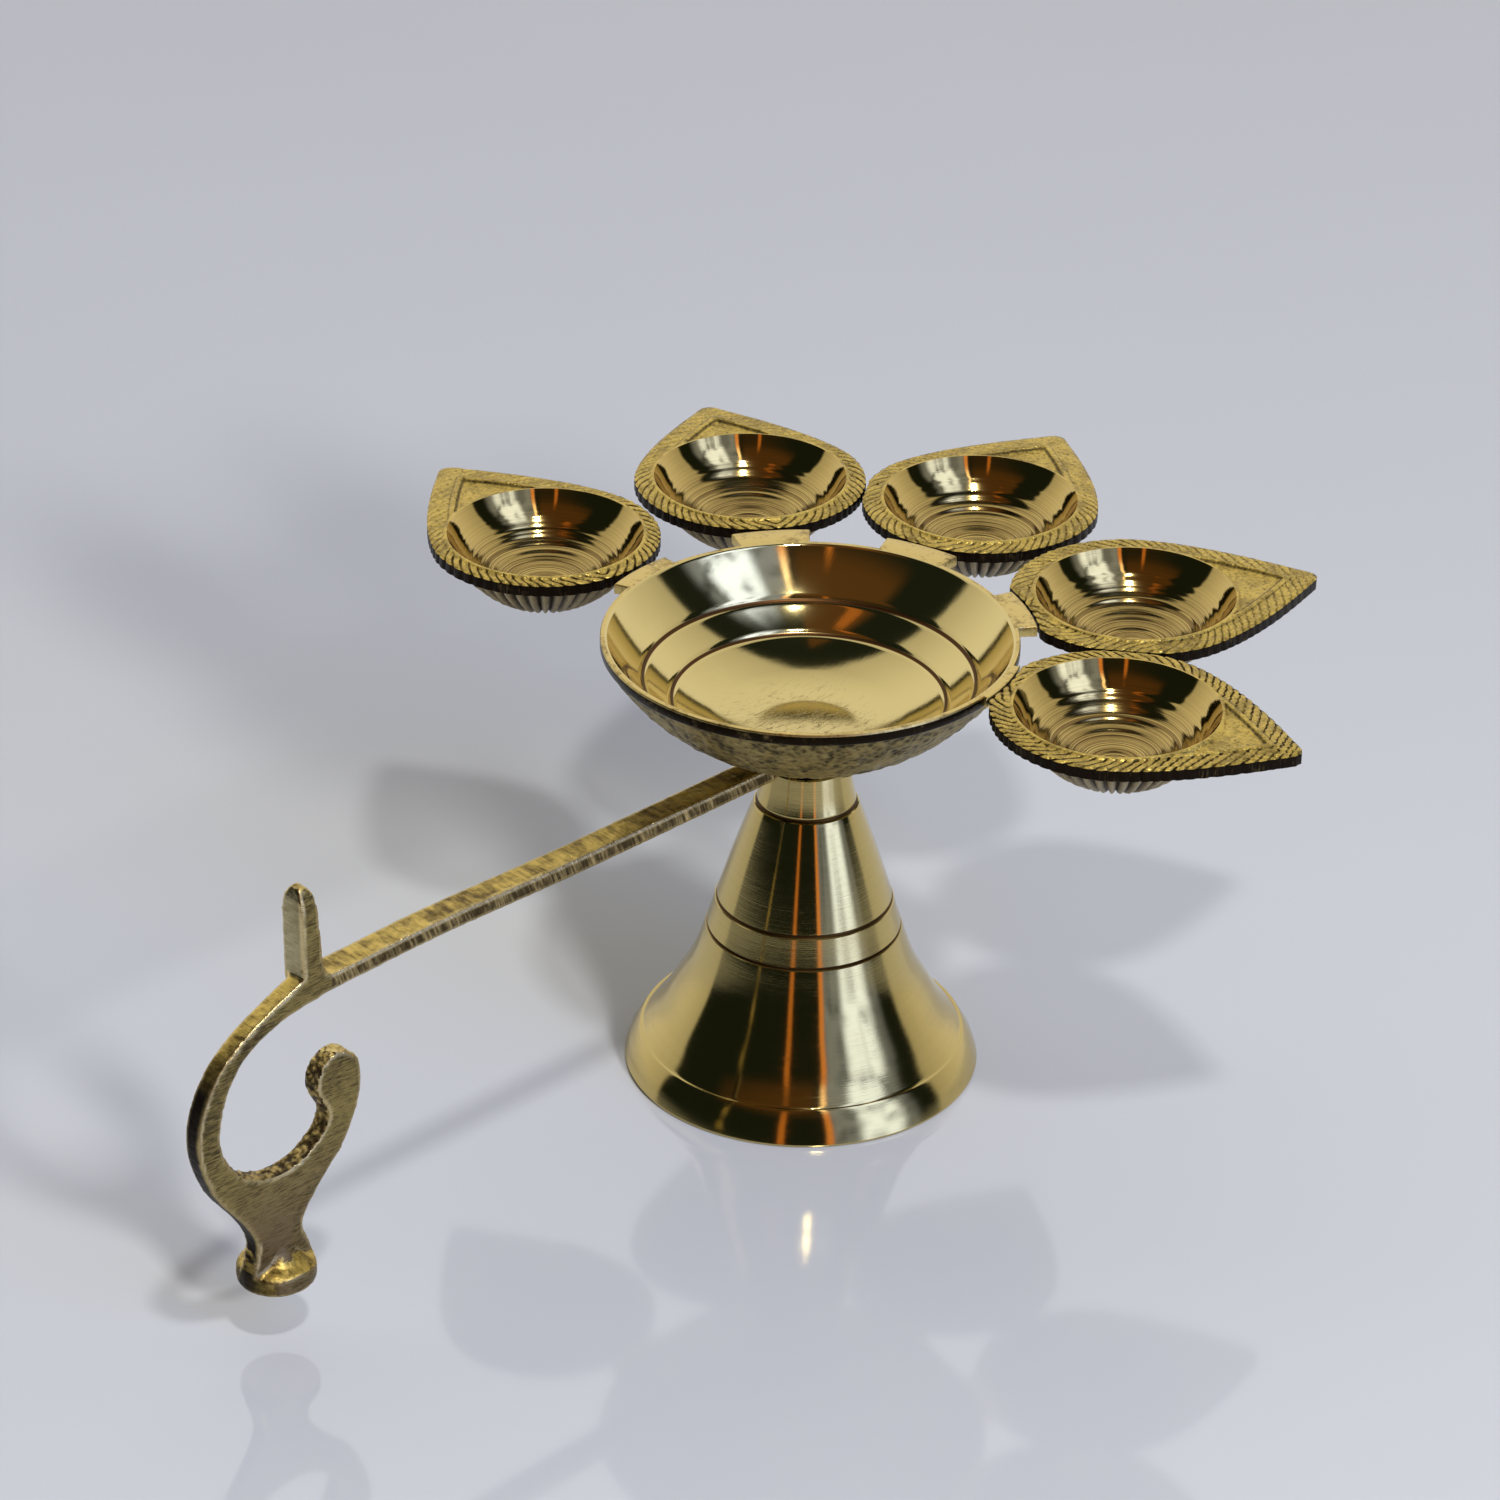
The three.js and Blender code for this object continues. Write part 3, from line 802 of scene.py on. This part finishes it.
def paintShadeAndEdgeHighlights(shade, colour, roughness):  # painted shade under the arm, on the lower outer curl and on the pad's outer side; painted highlights along the edges, partly rubbed wear
    patinaAndPaintedShade, edge = (shade.node("ShaderNodeAttribute", {"attribute_name": name}, None, 2)
                    for name in ("patinaAndPaintedShade", "edgePaintedHighlightAndWear"))
    colour = patinaAndPaintedShade.blend(colour, castFinish["patinaAndPaintedShade"])
    colour = (edge * (1 - patinaAndPaintedShade * 0.6)).blend(colour, castFinish["paintedHighlightAndWear"])
    return colour, roughness + patinaAndPaintedShade * 0.15 - edge * 0.1


def brushedFace():
    material, shade = newMaterial("brushedFace")
    place = shade.node("ShaderNodeTexCoord", None, None, 3)
    turned = shade.node("ShaderNodeMapping", None, {
        "Vector": place, "Rotation": (0, math.radians(-32), 0), "Scale": (1, 1, 9)})
    strokes = shade.noise(turned, 520, 4, 0.75, 0.3)
    fine = shade.noise(turned, 1500, 3, 0.7)
    patches = shade.noise(place, 110, 3, 0.6)
    height = place.split()[2]
    tone = (strokes + patches * 0.45 + fine * 0.3).step(0.70, 1.04)
    colour = tone.blend(*castFinish["brushed"])
    stain = (1 - (height / mm).step(14, 34)) * (strokes * 0.6 + patches * 0.7).step(0.5, 0.8) * 0.6
    colour = stain.blend(colour, castFinish["stained"])
    colour, roughness = paintShadeAndEdgeHighlights(shade, colour, 0.26 + strokes * 0.16)
    closeMaterial(shade, colour, roughness, strokes + fine * 0.5, 0.00009)
    return material


def filedEdge():
    material, shade = newMaterial("filedEdge")
    place = shade.node("ShaderNodeTexCoord", None, None, 3)
    x, y, z = place.split()
    strokes = shade.noise(shade.join(x, y * 0.14, z), 900, 4, 0.8)
    broad = shade.noise(place, 330, 4, 0.7)
    patches = shade.noise(place, 90, 3, 0.6)
    tone = (strokes * 0.6 + broad * 0.5 + patches * 0.4).step(0.56, 0.88)
    colour = tone.blend(*castFinish["filed"])
    colour, roughness = paintShadeAndEdgeHighlights(shade, colour, 0.26 + strokes * 0.16)
    closeMaterial(shade, colour, roughness, strokes + broad * 0.8, 0.00016)
    return material


def sideStrokes():
    material, shade = newMaterial("sideStrokes")
    place = shade.node("ShaderNodeTexCoord", None, None, 3)
    x, y, z = place.split()
    leaning = x + z * 0.35
    strokes = shade.noise(shade.join(leaning, y * 0.1, z * 0.1), 1500, 4, 0.75)
    patches = shade.noise(place, 120, 3, 0.6)
    tone = (strokes * 0.95 + patches * 0.3).step(0.55, 0.88)
    colour = tone.blend(*castFinish["stroked"])
    colour, roughness = paintShadeAndEdgeHighlights(shade, colour, 0.24 + strokes * 0.16)
    closeMaterial(shade, colour, roughness, strokes, 0.00022)
    return material


def thumbPolish():  # where the thumb rests
    material, shade = newMaterial("thumbPolish")
    place = shade.node("ShaderNodeTexCoord", None, None, 3)
    fine = shade.noise(place.vector("MULTIPLY", (1, 1, 4)), 500, 4, 0.75)
    patches = shade.noise(place, 160, 3, 0.6)
    colour = (fine * 0.5 + patches * 0.6).step(0.4, 0.75).blend(*castFinish["thumbed"])
    colour, roughness = paintShadeAndEdgeHighlights(shade, colour, 0.2 + fine * 0.12)
    closeMaterial(shade, colour, roughness, fine, 0.00004)
    return material


def castPits():
    material, shade = newMaterial("castPits")
    place = shade.node("ShaderNodeTexCoord", None, None, 3)
    lumps = shade.noise(place, 520, 5, 0.75, 0.5)
    pits = shade.node("ShaderNodeTexVoronoi", {"feature": "F1"}, {"Vector": place, "Scale": 1100})
    tone = (lumps * 0.9 + (1 - pits) * 0.4).step(0.52, 0.92)
    colour = tone.blend(*castFinish["pitted"])
    closeMaterial(shade, colour, 0.28 + lumps * 0.2, lumps * 1.2 - pits * 0.5, 0.0005)
    return material


handleShape = {
    "armTop": 58.2, "armDepth": 2.8, "armWidth": 4.9, "curlWidth": 3.4, "flushFace": 2.0,
    "camber": 0.6,
    "armEnds": (6.0, 103), "armStep": (8.4, 8.8), "eyeLow": 56.3,
    "eye": ((4.4, 56.3), (6.5, 56.3), (6.6, 56.4), (6.6, 58.1), (6.5, 58.2), (4.4, 58.2), (4.3, 58.1),
            (4.3, 56.4)),
    "pad": ((0, 8.8), (5.4, 8.8), (5.9, 9.1), (6.1, 9.6), (6.1, 11.3), (5.9, 11.9), (5.0, 12.3), (3.7, 12.9),
            (2.6, 14.1), (1.8, 16.2), (0, 16.2)),
    "padCentre": 112.6,
    "tongue": ((101.2, 57.7), (101.2, 58.1), (102.4, 58.6), (103.1, 60.5), (103.9, 70), (104.2, 72.6),
               (104.9, 73.9), (105.7, 74.3), (106.5, 73.9), (107.1, 72.2), (107.2, 70), (107.0, 57.7)),
    "tongueRound": 69.4,  # above this the top is rounded across the tongue
    "back": ((102.0, 58.2), (106.8, 59.2), (108.2, 58.9), (113.6, 56.6), (119.4, 53.6), (124.2, 49.4),
             (127.2, 43.8), (127.8, 37.4), (125.2, 29.6), (119.8, 22.2), (117.6, 17.8), (117.9, 14.6),
             (118.7, 12.2)),
    "tail": ((106.9, 12.2), (107.7, 14.6), (108.6, 18.2), (104.8, 23.4), (99.8, 28.8), (97, 35),
             (96.6, 40.4), (98.6, 43.6), (101.4, 44.4), (104.2, 42.6), (105.2, 39.6), (104.2, 37.0),
             (103.2, 35.0), (103.4, 32.8), (105.4, 30.6), (109.4, 28.5), (115.2, 28.6), (120.6, 31.8),
             (123.6, 38), (122.4, 45.2), (118.4, 50.8), (112.0, 53.9), (105.0, 55.1), (98.0, 55.4)),
    "loopCentre": (111.5, 40.5),  # middle of the finger loop, out from the lamp's axis and up
    "pitted": (27, 46),  # heights between which the inside of the loop is left as cast
    "uneven": {"pitted": 0.35, "filed": 0.07},
    "voxel": 0.4,
}


def extrudedPlate(bm, outline, low, high):  # an upright plate, from its outline in the XZ plane
    verts = [bm.verts.new((lampAxis.x - s * mm, lampAxis.y - high * mm, z * mm)) for s, z in outline]
    edges = [bm.edges.new(pair) for pair in zip(verts, verts[1:] + verts[:1])]
    filled = bmesh.ops.triangle_fill(bm, edges=edges, use_beauty=True, use_dissolve=False)
    faces = [f for f in filled["geom"] if isinstance(f, bmesh.types.BMFace)]
    pushed = bmesh.ops.extrude_face_region(bm, geom=faces)
    moved = [v for v in pushed["geom"] if isinstance(v, bmesh.types.BMVert)]
    bmesh.ops.translate(bm, verts=moved, vec=(0, (high - low) * mm, 0))
    bmesh.ops.recalc_face_normals(bm, faces=bm.faces)


def remeshed(bm, voxel):
    mesh = bpy.data.meshes.new("casting")
    bm.to_mesh(mesh)
    bm.free()
    scrap = bpy.data.objects.new("casting", mesh)
    scene.collection.objects.link(scrap)
    modifier = scrap.modifiers.new("skin", "REMESH")
    modifier.mode, modifier.voxel_size = "VOXEL", voxel * mm
    skinned = bpy.data.meshes.new_from_object(scrap.evaluated_get(bpy.context.evaluated_depsgraph_get()))
    made = bmesh.new()
    made.from_mesh(skinned)
    bpy.data.objects.remove(scrap)
    for data in (mesh, skinned):
        bpy.data.meshes.remove(data)
    return made


def joined(parts):
    whole = bmesh.new()
    for part in parts:
        scrap = bpy.data.meshes.new("part")
        part.to_mesh(scrap)
        part.free()
        whole.from_mesh(scrap)
        bpy.data.meshes.remove(scrap)
    return whole


def outFromAxis(co):  # mm along the handle, across it and up
    return Vector(((lampAxis.x - co.x) / mm, (co.y - lampAxis.y) / mm, co.z / mm))


def paintedShadeAndHighlightAttributes(bm):
    patinaAndPaintedShade, paintedHighlightAndWear = (bm.verts.layers.float.new(name) for name in ("patinaAndPaintedShade", "edgePaintedHighlightAndWear"))
    loopOut, loopUp = handleShape["loopCentre"]
    for vert in bm.verts:
        # the first layer is painted shade: faces turned down under the arm, the outer curl darker towards the
        # bottom, and the pad's outer side
        s, _, z = outFromAxis(vert.co)
        outward = (s - loopOut) * -vert.normal.x + (z - loopUp) * vert.normal.z
        outerCurl = s > 108 and 12 < z < 52 and outward > 0 and abs(vert.normal.y) < 0.85
        low = min(1.0, max(0.0, (55 - z) / 8)) if outerCurl else 0.0
        under = min(1.0, max(0.0, (-vert.normal.z - 0.3) / 0.4)) if z > 20 and s < 108 else 0.0
        padSide = max(0.0, -vert.normal.x * 0.8 + 0.2) if z < 12 else 0.0
        vert[patinaAndPaintedShade] = max(low, under, padSide) * (1 - abs(vert.normal.y) ** 2)
        # the second layer is painted highlight on sharp edges, partly rubbed wear
        bend = max((e.calc_face_angle(0.0) for e in vert.link_edges), default=0.0)
        vert[paintedHighlightAndWear] = min(1.0, max(0.0, (bend - 0.22) / 0.2)) * (0.6 if z > 13.5 else 0.3)


def castHandle():
    shape = handleShape
    flush, curlWidth, armWidth = shape["flushFace"], shape["curlWidth"], shape["armWidth"]
    curl, arm, tongue, pad = (bmesh.new() for _ in range(4))
    extrudedPlate(curl, smoothLine(shape["back"], 5) + smoothLine(shape["tail"], 5), flush - curlWidth, flush)
    top, low = shape["armTop"], shape["armTop"] - shape["armDepth"]
    (near, far), (thinTo, thickFrom), eyeLow = shape["armEnds"], shape["armStep"], shape["eyeLow"]
    extrudedPlate(arm, ((near, top), (far, top), (far, low), (thickFrom, low), (thinTo, eyeLow),
                        (near, eyeLow)), flush - armWidth, flush)
    extrudedPlate(tongue, shape["tongue"], flush - armWidth, flush)
    spun(pad, shape["pad"], 64, lampAxis - Vector((shape["padCentre"] * mm, 0, 0)))
    outward(pad)
    bm = remeshed(joined((curl, arm, tongue, pad)), shape["voxel"])
    middleAcross, roundFrom = armWidth / 2 - flush, shape["tongueRound"]
    for vert in bm.verts:
        s, across, z = outFromAxis(vert.co)
        if z > roundFrom:
            squeeze = math.sqrt(max(0.05, 1 - ((z - roundFrom) / 5.0) ** 2))
            vert.co.y = lampAxis.y + (middleAcross + (across - middleAcross) * squeeze) * mm
        if z > 54 and s < 104:
            vert.co.z += shape["camber"] * math.exp(-((s - 80) / 18) ** 2) * mm
    for _ in range(2):
        bmesh.ops.smooth_vert(bm, verts=bm.verts, factor=0.5, use_axis_x=True, use_axis_y=True,
                              use_axis_z=True)
    bm.normal_update()
    (loopOut, loopUp), (pitsLow, pitsHigh) = shape["loopCentre"], shape["pitted"]
    for vert in bm.verts:
        s, _, z = outFromAxis(vert.co)
        inner = abs(vert.normal.y) < 0.6 and 96 < s < 123.5 and pitsLow < z < pitsHigh and (
            math.hypot(s - loopOut, z - loopUp) < 17)
        rough = shape["uneven"]["pitted" if inner else "filed"]
        vert.co += vert.normal * noise.noise(vert.co / mm * 1.1) * rough * mm
    bm.normal_update()
    paintedShadeAndHighlightAttributes(bm)
    for face in bm.faces:
        s, _, z = outFromAxis(face.calc_center_median())
        onFace = abs(face.normal.y) > 0.72
        inward = (loopOut - s) * -face.normal.x + (loopUp - z) * face.normal.z > 0
        tongueFace = s > 100 and z > 59.5 and abs(face.normal.x) > 0.7
        if tongueFace:
            face.material_index = 4
        elif onFace:
            face.material_index = 1 if s < 102 and z > 54 else 0
        else:
            face.material_index = 3 if inward and pitsLow < z < pitsHigh and s < 123 else 2
    spun(bm, shape["eye"], 64, lampAxis, closed=True)
    bmesh.ops.recalc_face_normals(bm, faces=bm.faces)
    finishPiece("castHandle", bm, "handle", "handle",
                [brushedFace(), sideStrokes(), filedEdge(), castPits(), thumbPolish()], 50)


castHandle()


studio = {
    "floor": (0.53, 0.555, 0.592),
    "key": {"turn": 32, "height": 27, "distance": 1.5, "size": (0.2, 0.24), "power": 18.0,
            "colour": (1.0, 0.97, 0.92), "glossy": False},
    "overhead": {"turn": 20, "height": 66, "distance": 1.4, "size": (0.1, 0.1), "power": 6.4,
                 "colour": (1.0, 0.98, 0.95), "glossy": True},
}

# Painted round the lamp: middle, half width and soft edge of each band in degrees, then its colour
surroundings = {
    "dark": (0.014, 0.019, 0.015),
    "wood": ((-27, 33, 10), (0.115, 0.056, 0.02)),
    "flame": ((-12, 1.2, 1.5), (0.75, 0.26, 0.06)),
    "highFlame": ((-50, 5, 4), (0.5, 0.17, 0.04)),
    "window": ((48, 24, 10), (0.37, 0.45, 0.8)),
    "windowMiddle": ((53, 10, 9), (1.7, 2.15, 4.2)),
    "tubeLight": ((18, 1.4, 1.5), ((2.6, 2.1, 1.8), (1.1, 0.42, 0.12))),  # its top and its low end
    "wall": ((0.56, 0.54, 0.49), (1.0, 0.97, 0.91)),  # at its ends and in the middle
    "strength": 0.85,
}


def makeFloor():
    bm = bmesh.new()
    bmesh.ops.create_grid(bm, x_segments=1, y_segments=1, size=6)
    mesh = bpy.data.meshes.new("floor")
    bm.to_mesh(mesh)
    bm.free()
    floor = bpy.data.objects.new("floor", mesh)
    floor.location.z = -0.00005
    scene.collection.objects.link(floor)
    material, shade = newMaterial("floorSheet")
    place = shade.node("ShaderNodeTexCoord", None, None, 3)
    cloud = shade.noise(place, 9, 3, 0.5)
    colour = cloud.blend(tuple(c * 0.97 for c in studio["floor"]), studio["floor"])
    closeMaterial(shade, colour, 0.05 + cloud * 0.03, metallic=0.0, IOR=1.75)
    mesh.materials.append(material)


def makeLight(name):
    setup = studio[name]
    turn, height = math.radians(setup["turn"]), math.radians(setup["height"])
    back = Vector((-viewForward.x, -viewForward.y, 0)).normalized()
    side = Vector((viewRight.x, viewRight.y, 0)).normalized()
    away = (back * math.cos(turn) + side * math.sin(turn)) * math.cos(height) \
        + Vector((0, 0, math.sin(height)))
    data = bpy.data.lights.new(name, "AREA")
    data.shape, (data.size, data.size_y) = "RECTANGLE", setup["size"]
    data.energy, data.color = setup["power"], setup["colour"]
    light = bpy.data.objects.new(name, data)
    light.visible_glossy = setup["glossy"]
    light.location = Vector((0, 0, 0.05)) + away * setup["distance"]
    light.rotation_euler = away.to_track_quat("Z", "Y").to_euler()
    scene.collection.objects.link(light)


def makeWorld():
    world = bpy.data.worlds.new("studioWorld")
    scene.world = world
    world.use_nodes = True
    world.node_tree.nodes.clear()
    shade = Shade(world.node_tree)
    direction = shade.node("ShaderNodeTexCoord", None, None, 0)
    back = Vector((viewForward.x, viewForward.y, 0)).normalized()
    side = Vector((viewRight.x, viewRight.y, 0)).normalized()
    behind = direction.vector("DOT_PRODUCT", back, 1)
    right = direction.vector("DOT_PRODUCT", side, 1)
    up = direction.split()[2]
    turn = right.math("ARCTAN2", behind * -1) * (180 / math.pi)  # 0 behind the camera, + to its right
    cloudy = shade.noise(direction, 5, 3, 0.6)
    wall = (behind + right * 0.03 - 0.09 - up ** 4 * 0.07 + (cloudy - 0.5) * 0.05).step(0.0, 0.06)
    low, high = 1 - up.step(0.55, 0.8), up.step(0.78, 0.97)
    masks = {"wood": up.step(0.5, 0.75), "flame": low, "highFlame": up.band(0.92, 0.03, 0.03),
             "window": (1 - high) * cloudy.step(0.2, 0.6),
             "windowMiddle": (1 - high) * cloudy.step(0.25, 0.55)}
    colour = surroundings["dark"]
    for name, mask in masks.items():
        band, paint = surroundings[name]
        colour = (turn.band(*band) * mask).blend(colour, paint)
    band, (top, bottom) = surroundings["tubeLight"]
    colour = (turn.band(*band) * (1 - high)).blend(colour, low.blend(top, bottom))
    lit = behind.step(-0.1, 0.75).blend(*surroundings["wall"])
    colour = wall.blend(colour, lit)
    background = shade.node("ShaderNodeBackground", None,
                            {"Color": colour, "Strength": surroundings["strength"]})
    shade.finish("ShaderNodeOutputWorld", background)


makeFloor()
for name in ("key", "overhead"):
    makeLight(name)
makeWorld()
scene.view_settings.view_transform = "Standard"
print("floor, lights and world made")
